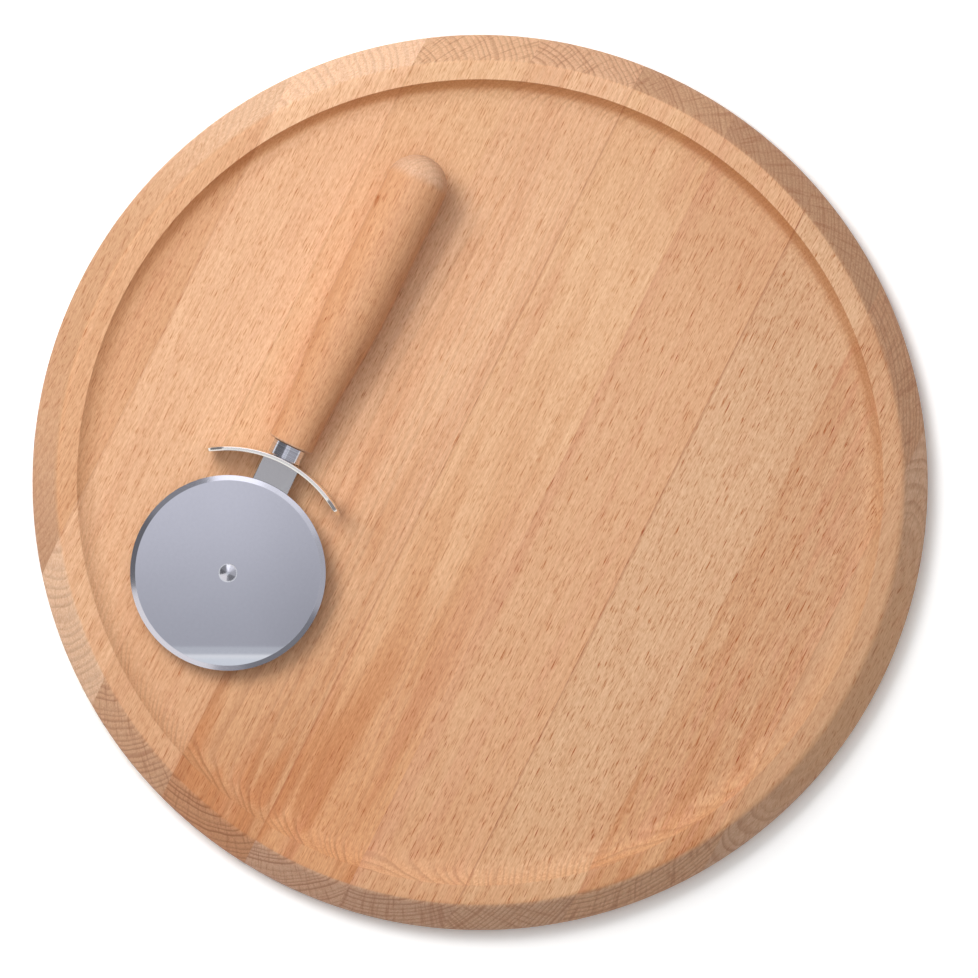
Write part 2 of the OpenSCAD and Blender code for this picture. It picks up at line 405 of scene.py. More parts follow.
class Beech(Paint):
    """Beech all through: rings round the log's middle, rays out from it, and fibres along the grain.

    at is its middle, with Y along the grain. Over half_l on each side it goes from its far to its near
    colours, and lower from 0 to 1. end_cut is 1 on faces that cut the grain's ends, leaning is 1 on
    sloping faces, and outer is 1 outside the board's flat rim.
    """

    def __init__(self, name, cut, at, half_l):
        super().__init__(bpy.data.materials.new(name))
        self.cut = cut
        self.colours = settings("finishes")
        self.grain_place = self.place(at)
        self.across, self.along, self.height = self.split(self.grain_place)
        self.wander = self.noise(WANDER, 0)
        self.ripple = self.noise(RIPPLE, 2, detail=1.0)
        self.fibre = self.noise(FIBRE, 3)
        self.lower = 1 - self.smooth(self.along + self.wander * 60, -half_l, half_l)
        self.near = self.lower ** 3
        self.normal = self.add("TexCoord", {}, {}, output="Normal")
        facing = self.add(
            "VectorMath", {"operation": "DOT_PRODUCT"}, {0: self.normal, 1: at.col[1].xyz}, output="Value")
        self.end_cut = self.smooth(abs(facing), 0.08, 0.42)
        self.outer = 1.0
        self.leaning = 0.0

    def noise(self, density, step, detail=2.0):
        """Noise in the wood. Each kind takes its own step from the piece's seed."""
        return self.cloud(self.grain_place, density, detail=detail, seed=self.cut.seed + step)

    def log_marks(self):
        """The dark late wood of each ring, and the rays, as the log's middle and its lean place them."""
        cut = self.cut
        aside = self.across - cut.pith[0] + self.along * cut.lean[0] + self.wander * cut.bend
        above = self.height - cut.pith[1] + self.along * cut.lean[1]
        ring_r = self.hypot(aside, above) + self.ripple
        ray_side = self.math("ARCTAN2", aside, above) * math.hypot(*cut.pith)
        uneven = self.cloud(self.join(ring_r, 0.0, 0.0), (0.2, 0.0, 0.0), detail=1.0, seed=cut.seed + 7)
        phase = self.math("FRACT", ring_r / cut.ring_w + uneven * 2.5)
        late = self.smooth(phase, 0.35, 0.85) * (1 - self.smooth(phase, 0.88, 1.0))
        late = late * (0.75 + uneven * 2)
        ray_place = self.join(ray_side, self.along * 0.1, ring_r * 0.04)
        ray = self.cloud(ray_place, (1.1, 1.0, 1.0), seed=cut.seed + 9)
        return late, self.smooth(ray, 0.0, 0.2)

    def dashes(self, spot, gap, length):
        """Dashes along Y of chance sizes and depths, so many millimetres apart and long."""
        cell = self.add("VectorMath", {"operation": "DIVIDE"}, {0: spot, 1: (gap, length, 1.0)})
        distance, tint = self.add(
            "TexVoronoi", {"voronoi_dimensions": "2D"}, {"Vector": cell, "Scale": 1.0, "Randomness": 0.95},
            output=("Distance", "Color"))
        depth, size, _ = self.split(tint)
        return (1 - self.smooth(distance, 0.04, 0.14 + size * 0.14)) * (0.25 + depth * 0.6)

    def flecks(self):
        """The brown dashes that rays leave on faces along the grain, short ones and long ones."""
        cut = self.cut
        jitter = self.noise(JITTER, 17, detail=0.0)
        lean = self.height * cut.fleck_lean + self.ripple * 0.6
        spot = self.join(self.across + lean, self.along + jitter * 5, 0.0)
        short = self.dashes(spot, cut.fleck_gap, cut.fleck_l)
        long = self.dashes(spot, cut.fleck_gap * 2.1, cut.fleck_l * 2.3)
        return (short + long * 0.9) * (1 - self.end_cut * 0.7) * cut.flecks

    def streaks(self, step, low, high):
        """Broad streaks along the grain."""
        broad = (1 / self.cut.streak_w, 1 / self.cut.streak_l, 1 / self.cut.streak_w)
        return self.smooth(self.noise(broad, step), low, high)

    def edged(self, wood):
        """The wood with the marks of its piece's edges. Plain beech has none."""
        return wood

    def textured(self, wood):
        """The wood with its fibres and flecks."""
        thread = self.noise(THREAD, 5, detail=1.0)
        change = (self.fibre + thread * 0.8) * self.cut.fibres + self.wander * 0.1 - self.flecks()
        light = self.add(
            "VectorMath", {"operation": "MULTIPLY_ADD"},
            {0: self.join(change, change, change), 1: TEXTURE_SHARES, 2: (1.0, 1.0, 1.0)})
        return self.add("VectorMath", {"operation": "MULTIPLY"}, {0: wood, 1: light})

    def painted(self):
        """The finished material."""
        cut = self.cut
        colours = self.colours
        end_tone = self.end_cut * self.outer
        wood = self.mix(self.near, screen(*cut.tone), screen(*cut.low))
        bands = self.streaks(11, -0.04, 0.12) * cut.orange * (0.18 + self.near * 0.82)
        wood = self.mix(bands * (1 - self.leaning * 0.6), wood, colours.orange)
        wood = self.mix(self.streaks(13, 0.0, 0.15) * cut.pink, wood, colours.pink)
        wood = self.edged(wood)
        ends = self.mix(self.lower, screen(*cut.end), screen(*cut.low_end))
        wood = self.textured(self.mix(end_tone * 0.75, wood, ends))
        late, ray = self.log_marks()
        end_rings = (end_tone + self.end_cut) * (0.8 + self.near * 0.2) * cut.end_rings * 0.5
        rings = cut.rings * (0.4 + self.lower * 0.6)
        wood = self.mix(late * (end_rings + rings), wood, colours.ring)
        wood = self.mix(end_tone * ray * cut.end_rays, wood, colours.ring)
        normal = self.add("Bump", {}, {"Height": self.fibre, "Strength": 0.25, "Distance": 0.1 * MM})
        shader = self.add("BsdfPrincipled", {}, {
            "Base Color": wood, "Roughness": colours.wood_gloss + self.fibre * 0.1,
            "Specular IOR Level": 0.25, "Normal": normal})
        return self.finish(shader)


class StaveBeech(Beech):
    """Beech of one stave. Its seam lies half_w from its middle, and the rim meets the slope at rim_r."""

    def __init__(self, name, cut, at, half_l, half_w, rim_r):
        super().__init__(name, cut, at, half_l)
        self.seam_at = -half_w
        self.rim_r = rim_r
        self.east, self.north, _ = self.split(self.place())
        self.radius = self.hypot(self.east, self.north)
        self.outer = self.smooth(self.radius, rim_r - 1, rim_r)
        self.leaning = 1 - self.smooth(self.split(self.normal)[2], 0.8, 0.97)

    def edged(self, wood):
        """Adds the pink edge, the seam, a slope tint, and painted shade on the far curve and beside it."""
        cut = self.cut
        rim_r = self.rim_r
        edge = 1 - self.smooth(self.across + self.wander * 6, self.seam_at, self.seam_at + 7.0)
        wood = self.mix(edge * cut.pink_edge, wood, self.colours.pink)
        seam = 1 - self.smooth(self.across, self.seam_at + 0.1, self.seam_at + 1.1)
        wood = self.mix(seam * cut.seam, wood, self.colours.seam)
        # Painted shade: the curve up to the rim on the far side, where it faces away from the lamps, and
        # the recess just inside it as a soft shadow of the rim
        shaded_side = self.smooth(self.north + self.east * 0.2, rim_r * -0.25, rim_r * 0.9)
        inside = 1 - self.smooth(self.radius, rim_r - 10, rim_r - 8)
        shade_beside_rim = self.smooth(self.radius, rim_r * 0.55, rim_r * 0.85) * inside
        painted_hollow_shade = self.math("MAXIMUM", self.leaning * (1 - self.outer), shade_beside_rim * 0.2)
        wood = self.mix(painted_hollow_shade * shaded_side, wood, self.colours.painted_hollow_shade, blend="MULTIPLY")
        slope_side = self.leaning * self.outer * (1 - self.end_cut)
        return self.scaled(wood, 1 + slope_side * (cut.side - 1))


# Modelling by hand

def start_fresh():
    """Leaves edit mode and deselects every object."""
    if bpy.context.object and bpy.context.object.mode != "OBJECT":
        bpy.ops.object.mode_set(mode="OBJECT")
    bpy.ops.object.select_all(action="DESELECT")


def select(piece):
    """Selects one piece alone."""
    start_fresh()
    piece.select_set(True)
    bpy.context.view_layer.objects.active = piece


def in_edit_mode(piece):
    """Opens one piece with all of its mesh selected."""
    select(piece)
    bpy.ops.object.mode_set(mode="EDIT")
    bpy.ops.mesh.select_all(action="SELECT")


def draw_line(name, points):
    """An outline drawn point by point, open or closed."""
    start_fresh()
    bpy.ops.mesh.primitive_plane_add(size=MM)
    piece = bpy.context.object
    piece.name = name
    in_edit_mode(piece)
    bpy.ops.mesh.merge(type="CENTER")
    bpy.ops.transform.translate(value=points[0])
    for here, there in zip(points, points[1:]):
        step = Vector(there) - Vector(here)
        bpy.ops.mesh.extrude_vertices_move(TRANSFORM_OT_translate={"value": step})
    bpy.ops.mesh.select_all(action="SELECT")
    bpy.ops.mesh.remove_doubles(threshold=MERGE_GAP)
    return piece


def close_shell(piece, crease):
    """Merges doubles, points the faces outwards and shades the piece smooth up to a crease angle."""
    in_edit_mode(piece)
    bpy.ops.mesh.remove_doubles(threshold=MERGE_GAP)
    bpy.ops.mesh.normals_make_consistent(inside=False)
    bpy.ops.object.mode_set(mode="OBJECT")
    bpy.ops.object.shade_smooth_by_angle(angle=math.radians(crease))


def turned(name, outline, axis, crease, steps=ROUND_STEPS):
    """A piece turned on a lathe: an outline of (along the axis, radius), spun round the axis."""
    across = X_AXIS if axis.z else Z_AXIS
    points = [axis * station + across * radius for station, radius in outline]
    piece = draw_line(name, points)
    bpy.ops.mesh.spin(steps=steps, angle=math.tau, center=(0, 0, 0), axis=axis)
    close_shell(piece, crease)
    return piece


def apply_modifiers(piece):
    select(piece)
    for modifier in list(piece.modifiers):
        bpy.ops.object.modifier_apply(modifier=modifier.name)


def round_edges(piece, radius, segments=2):
    bevel = piece.modifiers.new("round_edges", "BEVEL")
    bevel.width = radius
    bevel.segments = segments
    bevel.limit_method = "ANGLE"
    bevel.angle_limit = math.radians(ROUNDED_FROM)
    apply_modifiers(piece)


def cut_out(piece, cutter):
    """Cuts the cutter's mesh out of the piece and deletes the cutter."""
    boolean = piece.modifiers.new("cut_out", "BOOLEAN")
    boolean.operation = "DIFFERENCE"
    boolean.solver = "EXACT"
    boolean.object = cutter
    apply_modifiers(piece)
    bpy.data.objects.remove(cutter)


def dress(piece, material, body, node):
    """Gives a finished piece its material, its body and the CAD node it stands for."""
    piece.data.materials.clear()
    piece.data.materials.append(material)
    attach(piece, body)
    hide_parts(node)


def arc(centre, radius, start, end, steps):
    """Points of an arc, angles in degrees."""
    turns = [math.radians(start + (end - start) * i / steps) for i in range(steps + 1)]
    return [(centre[0] + radius * math.cos(a), centre[1] + radius * math.sin(a)) for a in turns]


def round_corner(before, corner, after, radius, steps):
    """Points of the arc that rounds a corner, with one more on each side to keep the faces flat."""
    before, corner, after = map(Vector, (before, corner, after))
    back = (before - corner).normalized()
    on = (after - corner).normalized()
    half = math.acos(back.dot(on)) / 2
    centre = corner + (back + on).normalized() * radius / math.sin(half)
    first = corner + back * radius / math.tan(half)
    last = corner + on * radius / math.tan(half)
    start = math.atan2(*(first - centre).yx)
    sweep = math.remainder(math.atan2(*(last - centre).yx) - start, math.tau)
    turns = [start + sweep * i / steps for i in range(steps + 1)]
    bend = [centre + radius * Vector((math.cos(a), math.sin(a))) for a in turns]
    return [first + back * radius * 0.2, *bend, last + on * radius * 0.2]


# Board

def board_outline(sizes, board_r, board_t):
    """The board's side from the middle below to the middle of the recess, as (radius, height)."""
    floor = board_t - sizes.recess_depth
    cove_w = math.sqrt(sizes.cove_r ** 2 - (sizes.cove_r - sizes.recess_depth) ** 2)
    rim_inner = board_r - sizes.slope_w - sizes.rim_w
    plateau = rim_inner - cove_w
    climb = math.degrees(math.asin(cove_w / sizes.cove_r))
    cove = arc((plateau, floor + sizes.cove_r), sizes.cove_r, -90 + climb, -90, 16)
    corners = [(0, 0), (board_r, 0), (board_r, board_t - sizes.slope_h), (board_r - sizes.slope_w, board_t),
               (rim_inner, board_t), cove[2]]
    rounding = [
        (sizes.base_edge_r, 6), (sizes.slope_edge_r, 6), (sizes.slope_edge_r, 6), (sizes.rim_edge_r, 4)]
    outline = [(0, 0), (board_r / 2, 0)]
    for i, (radius, steps) in enumerate(rounding):
        outline += round_corner(*corners[i:i + 3], radius, steps)
    outline += cove[3:]
    # One more ring just inside the cove keeps the shading of the recess flat
    outline += [(plateau - 0.5 * MM, floor), (board_r / 2, floor), (0, floor)]
    return outline


def across_grain(sizes, number):
    """Where seam number 0 to 9 lies across the grain. A half lies in the middle of a stave."""
    return sizes.panel_shift + (number - len(STAVES) / 2) * sizes.stave_w


STAVE_CUTS = [
    Cut(tone=(229, 175, 132), low=(226, 170, 125), end=(240, 201, 168), low_end=(192, 146, 114),
        pith=(-60, 30), end_rings=0.2, end_rays=0.1, side=0.85, seed=1),
    Cut(tone=(243, 194, 153), low=(232, 179, 137), end=(248, 204, 170), low_end=(234, 195, 163),
        pith=(-53, 48), ring_w=1.9, end_rings=0.25, end_rays=0.1, seam=0.3, seed=12),
    Cut(tone=(237, 188, 145), low=(226, 172, 130), end=(228, 180, 142), low_end=(212, 166, 132),
        pith=(-50, 55), orange=0.1, seam=0.2, seed=23),
    Cut(tone=(239, 189, 148), low=(215, 157, 111), end=(224, 176, 140), low_end=(208, 150, 110),
        pith=(-30, 68), lean=(0.06, 0.02), bend=12, ring_w=1.8, rings=0.25, orange=0.85, streak_w=9,
        seed=34),
    Cut(tone=(238, 189, 146), low=(224, 163, 115), end=(196, 150, 116), low_end=(212, 172, 146),
        pith=(-40, 60), lean=(0.06, 0.02), rings=0.12, orange=0.85, pink=0.3, streak_w=8, seam=0.5,
        seed=45),
    Cut(tone=(230, 178, 136), low=(227, 174, 131), end=(186, 142, 110), low_end=(206, 166, 140),
        pith=(-33, 62), lean=(0.12, 0.07), end_rings=0.55, flecks=0.8, fleck_l=6.6, pink=0.3,
        pink_edge=0.4, seed=56),
    Cut(tone=(227, 180, 140), low=(226, 176, 133), end=(192, 146, 112), low_end=(213, 172, 143),
        pith=(-55, 42), end_rings=0.55, flecks=0.9, fibres=0.8, pink=0.1, seam=0.6, seed=67),
    Cut(tone=(221, 170, 129), low=(219, 162, 115), end=(208, 158, 122), low_end=(222, 179, 146),
        pith=(-12, 70), bend=8, rings=0.15, end_rings=0.55, flecks=0.95, fleck_l=6.6, fibres=0.85,
        orange=0.8, pink=0.4, streak_w=5, streak_l=50, seed=78),
    Cut(tone=(214, 165, 125), low=(214, 165, 125), end=(226, 184, 153), low_end=(218, 180, 152),
        pith=(6, 30), fleck_lean=0.4, side=1.08, seam=0.2, seed=89),
]


class StaveMaker(bpy.types.Operator):
    """Model the nine glued beech staves of the board"""

    bl_idname = "pizza_board.staves"
    bl_label = "Staves"

    def execute(self, context):
        sizes = settings("board")
        boxes = [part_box(stave) for stave in STAVES]
        board_r = max(high.x for low, high in boxes)
        board_t = max(high.z for low, high in boxes)
        outline = [(height, radius) for radius, height in board_outline(sizes, board_r, board_t)]
        disc = turned("board_disc", outline, Z_AXIS, BOARD_CREASE)
        grain = Matrix.Rotation(sizes.grain_turn - math.pi / 2, 4, "Z")
        side = grain @ X_AXIS
        for number, (stave, cut) in enumerate(zip(STAVES, STAVE_CUTS)):
            piece = disc.copy()
            piece.data = disc.data.copy()
            piece.name = "finished_" + stave
            bpy.context.scene.collection.objects.link(piece)
            for seam, cleared in ((number, "clear_inner"), (number + 1, "clear_outer")):
                if 0 < seam < len(STAVES):
                    in_edit_mode(piece)
                    bpy.ops.mesh.bisect(
                        plane_co=side * across_grain(sizes, seam), plane_no=side, use_fill=True,
                        threshold=MERGE_GAP, **{cleared: True})
            close_shell(piece, BOARD_CREASE)
            at = Matrix.Translation(side * across_grain(sizes, number + 0.5)) @ grain
            wood = StaveBeech(
                "beech_" + stave, cut, at, half_l=board_r / MM, half_w=sizes.stave_w / 2 / MM,
                rim_r=(board_r - sizes.slope_w) / MM)
            dress(piece, wood.painted(), "board", stave)
        bpy.data.objects.remove(disc)
        return {"FINISHED"}


# Cutter

def cutter_place(sizes):
    """Where the cutter lies, for pieces drawn with the wheel's axle on Z and the handle along X."""
    spin = next(joint for joint in frame["joints"] if joint["name"] == "wheel_spin")
    axle = Vector(spin["axis"]).normalized()
    forward = (Z_AXIS - axle * axle.z).normalized()
    side = axle.cross(forward)
    wheel_middle = wheel_low(sizes) + sizes.wheel_t / 2
    place = Matrix((forward, side, axle)).transposed().to_4x4()
    place.translation = Vector(spin["pos_m"]) - axle * wheel_middle
    return place


def lay_down(piece, sizes):
    """Moves a piece from where it was drawn to where the cutter lies, in its mesh, and gives that place."""
    place = cutter_place(sizes)
    select(piece)
    piece.matrix_world = place
    bpy.ops.object.transform_apply()
    return place


def wheel_low(sizes):
    return sizes.arm_t / 2 + sizes.spacer_t + sizes.side_clear


def guard_inner(sizes):
    return sizes.wheel_d / 2 + sizes.guard_gap


def handle_start(sizes):
    return guard_inner(sizes) + sizes.guard_t + sizes.collar_l


def tang_hole_r(sizes):
    """Radius of the round holes that the flat tang runs through."""
    return math.hypot(sizes.tang_w, sizes.arm_t) / 2 + sizes.hole_clear


def handle_outline(sizes):
    """The handle's side from the blind hole's bottom to the butt, as (along the axis, radius)."""
    start = handle_start(sizes)
    end = start + sizes.handle_l
    handle_r = sizes.handle_d / 2
    neck_r = sizes.neck_d / 2
    socket_r = tang_hole_r(sizes)
    socket_end = start + sizes.tang_l + sizes.socket_spare
    curve_steps = 24
    swell = []
    for i in range(curve_steps + 1):
        part = i / curve_steps
        rise = part * part * (3 - 2 * part)
        swell.append((start + sizes.neck_l + sizes.swell_l * part, neck_r + (handle_r - neck_r) * rise))
    neck = round_corner((start, socket_r), (start, neck_r), swell[0], sizes.neck_edge_r, 6)
    butt = arc((end - handle_r, 0), handle_r, 90, 0, curve_steps)
    return [(socket_end, 0), (socket_end, socket_r), (start, socket_r), *neck, *swell, *butt]


HANDLE_CUT = Cut(
    tone=(223, 165, 122), low=(223, 165, 122), end=(231, 187, 154), low_end=(231, 187, 154),
    pith=(-30, -26), end_rings=0.25, end_rays=0.1, seed=101)
HANDLE_HALF_L = 150.0


class HandleMaker(bpy.types.Operator):
    """Model the turned beech handle"""

    bl_idname = "pizza_board.handle"
    bl_label = "Handle"

    def execute(self, context):
        sizes = settings("cutter")
        piece = turned(
            "finished_handle", handle_outline(sizes), X_AXIS, HANDLE_CREASE, steps=HANDLE_STEPS)
        grain = lay_down(piece, sizes) @ Matrix.Rotation(-math.pi / 2, 4, "Z")
        wood = Beech("beech_handle", HANDLE_CUT, grain, HANDLE_HALF_L)
        dress(piece, wood.painted(), "cutter", "handle")
        return {"FINISHED"}


# Noise in steel: its blobs a millimetre on each axis
BRUSHED = (1.2, 1.2, 1.2)
TURNED = (2.0, 0.02, 0.02)
POLISHED = (0.8, 0.8, 0.8)
PRESSED = (2.0, 2.0, 2.0)
SMUDGED = (0.06, 0.06, 0.06)


def steel(name, tint, gloss, density, at=AT_ORIGIN, ground=None, contrast=0.05):
    """Steel with faint marks and smudges, in a tint and a gloss of the finishes.

    ground is the radius where its rougher edge starts.
    """
    finish = settings("finishes")
    tint = getattr(finish, tint)
    roughness = getattr(finish, gloss)
    paint = Paint(bpy.data.materials.new(name))
    place = paint.place(at)
    marks = paint.cloud(place, density, detail=3.0, seed=3)
    smudge = paint.cloud(place, SMUDGED, seed=9)
    if ground is not None:
        x, y, _ = paint.split(place)
        past = paint.smooth(paint.hypot(x, y), ground - 0.1, ground)
        roughness = roughness + past * (finish.ground_gloss - roughness)
    shader = paint.add("BsdfPrincipled", {}, {
        "Base Color": paint.scaled(tint, 1 + marks * contrast + smudge * 0.04), "Metallic": 1.0,
        "Roughness": roughness + marks * roughness * 0.3 + smudge * roughness * 0.3})
    return paint.finish(shader)


class CollarMaker(bpy.types.Operator):
    """Model the steel collar between the handle and the guard"""

    bl_idname = "pizza_board.collar"
    bl_label = "Collar"

    def execute(self, context):
        sizes = settings("cutter")
        low = guard_inner(sizes) + sizes.guard_t
        high = low + sizes.collar_l
        bore_r = tang_hole_r(sizes)
        rim_r = sizes.collar_d / 2
        edge = sizes.collar_edge
        outline = [(low, bore_r), (low, rim_r - edge), (low + edge, rim_r), (high - edge, rim_r),
                   (high, rim_r - edge), (high, bore_r), (low, bore_r)]
        piece = turned("finished_collar", outline, X_AXIS, CREASE, steps=SMALL_STEPS)
        place = lay_down(piece, sizes)
        material = steel("turned_steel", "mirror", "ground_gloss", TURNED, at=place, contrast=0.7)
        dress(piece, material, "cutter", "collar")
        return {"FINISHED"}


class GuardMaker(bpy.types.Operator):
    """Model the curved finger guard"""

    bl_idname = "pizza_board.guard"
    bl_label = "Guard"

    def execute(self, context):
        sizes = settings("cutter")
        outer_r = guard_inner(sizes) + sizes.guard_t
        start_fresh()
        bpy.ops.mesh.primitive_plane_add(size=1, rotation=(math.pi / 2, 0, math.pi / 2))
        piece = bpy.context.object
        piece.name = "finished_guard"
        piece.scale = (sizes.guard_span, sizes.guard_h, 1)
        bpy.ops.object.transform_apply()
        in_edit_mode(piece)
        bpy.ops.mesh.bevel(offset=sizes.guard_corner_r, segments=8, affect="VERTICES")
        columns = 36
        for i in range(1, columns):
            bpy.ops.mesh.select_all(action="SELECT")
            station = sizes.guard_span * (i / columns - 0.5)
            bpy.ops.mesh.bisect(plane_co=(0, station, 0), plane_no=(0, 1, 0), threshold=MERGE_GAP)
        bpy.ops.object.mode_set(mode="OBJECT")
        bpy.ops.mesh.primitive_cylinder_add(
            vertices=FORMER_STEPS, radius=outer_r, depth=sizes.guard_h * 2, end_fill_type="NOTHING")
        former = bpy.context.object
        wrap = piece.modifiers.new("wrap", "SHRINKWRAP")
        wrap.wrap_method = "PROJECT"
        wrap.use_project_x = True
        wrap.target = former
        wall = piece.modifiers.new("wall", "SOLIDIFY")
        wall.thickness = sizes.guard_t
        wall.offset = -1
        apply_modifiers(piece)
        bpy.data.objects.remove(former)
        start_fresh()
        slot_w = sizes.tang_w + 2 * sizes.hole_clear
        slot_h = sizes.arm_t + 2 * sizes.hole_clear
        bpy.ops.mesh.primitive_cube_add(
            size=1, location=(outer_r, 0, 0), scale=(sizes.guard_t * 4, slot_w, slot_h))
        cut_out(piece, bpy.context.object)
        round_edges(piece, sizes.guard_edge, segments=4)
        close_shell(piece, CREASE)
        lay_down(piece, sizes)
        material = steel("guard_steel", "bright", "ground_gloss", BRUSHED)
        dress(piece, material, "cutter", "guard")
        return {"FINISHED"}


class ArmMaker(bpy.types.Operator):
    """Model the stamped steel arm with its tang"""

    bl_idname = "pizza_board.arm"
    bl_label = "Arm"

    def execute(self, context):
        sizes = settings("cutter")
        inner_r = guard_inner(sizes)
        half_w = sizes.arm_w / 2
        half_tang = sizes.tang_w / 2
        tang_end = handle_start(sizes) + sizes.tang_l
        eye = arc((0, 0), half_w, 90, 270, SMALL_STEPS // 2)
        wide = math.degrees(math.asin(half_w / inner_r))
        narrow = math.degrees(math.asin(half_tang / inner_r))
        low_step = arc((0, 0), inner_r, -wide, -narrow, 6)
        high_step = arc((0, 0), inner_r, narrow, wide, 6)
        flat = [*eye, *low_step, (tang_end, -half_tang), (tang_end, half_tang), *high_step, eye[0]]
        piece = draw_line("finished_arm", [(x, y, -sizes.arm_t / 2) for x, y in flat])
        bpy.ops.mesh.edge_face_add()
        bpy.ops.mesh.extrude_region_move(TRANSFORM_OT_translate={"value": (0, 0, sizes.arm_t)})
        close_shell(piece, CREASE)
        start_fresh()
        hole_r = sizes.rivet_d / 2 + sizes.hole_clear
        bpy.ops.mesh.primitive_cylinder_add(vertices=HOLE_STEPS, radius=hole_r, depth=sizes.arm_t * 2)
        cut_out(piece, bpy.context.object)
        round_edges(piece, sizes.sheet_edge)
        close_shell(piece, CREASE)
        lay_down(piece, sizes)
        material = steel("satin_steel", "satin", "satin_gloss", BRUSHED)
        dress(piece, material, "cutter", "arm")
        return {"FINISHED"}


class WheelMaker(bpy.types.Operator):
    """Model the polished cutting wheel"""

    bl_idname = "pizza_board.wheel"
    bl_label = "Wheel"

    def execute(self, context):
        sizes = settings("cutter")
        low = wheel_low(sizes)
        high = low + sizes.wheel_t
        middle = (low + high) / 2
        half_edge = sizes.cut_edge_t / 2
        bore_r = sizes.rivet_d / 2 + sizes.spin_clear
        rim_r = sizes.wheel_d / 2
        face_r = rim_r - sizes.grind_w
        outline = [(low, bore_r), (low, face_r), (middle - half_edge, rim_r), (middle + half_edge, rim_r),
                   (high, face_r), (high, bore_r), (low, bore_r)]
        piece = turned("finished_wheel", outline, Z_AXIS, WHEEL_CREASE)
        place = lay_down(piece, sizes)
        material = steel(
            "polished_steel", "mirror", "mirror_gloss", POLISHED, at=place, ground=face_r / MM)
        dress(piece, material, "cutting_wheel", "wheel")
        return {"FINISHED"}


class RivetMaker(bpy.types.Operator):
    """Model the rivet and finish the spacer and the washer"""

    bl_idname = "pizza_board.rivet"
    bl_label = "Rivet and washers"

    def execute(self, context):
        sizes = settings("cutter")
        head_low = wheel_low(sizes) + sizes.wheel_t + sizes.side_clear
        tail_high = -sizes.arm_t / 2 - sizes.washer_t
        tail_low = tail_high - sizes.tail_h
        rivet_r = sizes.rivet_d / 2
        head_r = sizes.head_d / 2
        tail_r = sizes.tail_d / 2
        dome_r = (head_r ** 2 + sizes.head_h ** 2) / (2 * sizes.head_h)
        dome_middle = head_low + sizes.head_h - dome_r
        rise = math.degrees(math.acos(head_r / dome_r))
        dome = arc((dome_middle, 0), dome_r, 90 - rise, 0, 16)
        edge = sizes.sheet_edge
        outline = [(tail_low, 0), (tail_low, tail_r - edge), (tail_low + edge, tail_r),
                   (tail_high, tail_r), (tail_high, rivet_r), (head_low, rivet_r), *dome]
        piece = turned("finished_rivet", outline, Z_AXIS, CREASE, steps=SMALL_STEPS)
        lay_down(piece, sizes)
        material = steel("rivet_steel", "mirror", "satin_gloss", PRESSED)
        dress(piece, material, "cutter", "rivet")
        for node in ("wheel_spacer", "rear_washer"):
            materials = frame["nodes"][node].data.materials
            materials.clear()
            materials.append(material)
        return {"FINISHED"}


# Stage

# Cards round the ceiling that show in the steel: from and to in degrees, level and tint
GREY = (1.0, 0.98, 1.04)
ROSY = (1.03, 0.98, 0.98)
RING_CARDS = [
    (-22, 25, 0.52, GREY),
    (25, 40, 0.75, GREY),
    (40, 68, 0.95, GREY),
    (68, 98, 1.45, GREY),
    (98, 142, 0.3, GREY),
    (142, 188, 0.17, GREY),
    (188, 262, 0.95, ROSY),
    (262, 280, 0.4, GREY),
    (280, 338, 0.24, GREY),
]

# Colours of the ceiling at its near and far side, of its pale band, and of the line that starts the band
CEILING_NEAR = (0.5, 0.5, 0.54)
CEILING_FAR = (0.75, 0.74, 0.8)
BAND = (0.84, 0.87, 0.9)
BAND_LINE = (0.98, 0.98, 0.98)
WHITE = (1.0, 1.0, 1.0)

# From where to where the ceiling goes from near to far along Y, and dims along X, in millimetres
CEILING_FADE = (-65, 80)
CEILING_DIM = (0, 75)


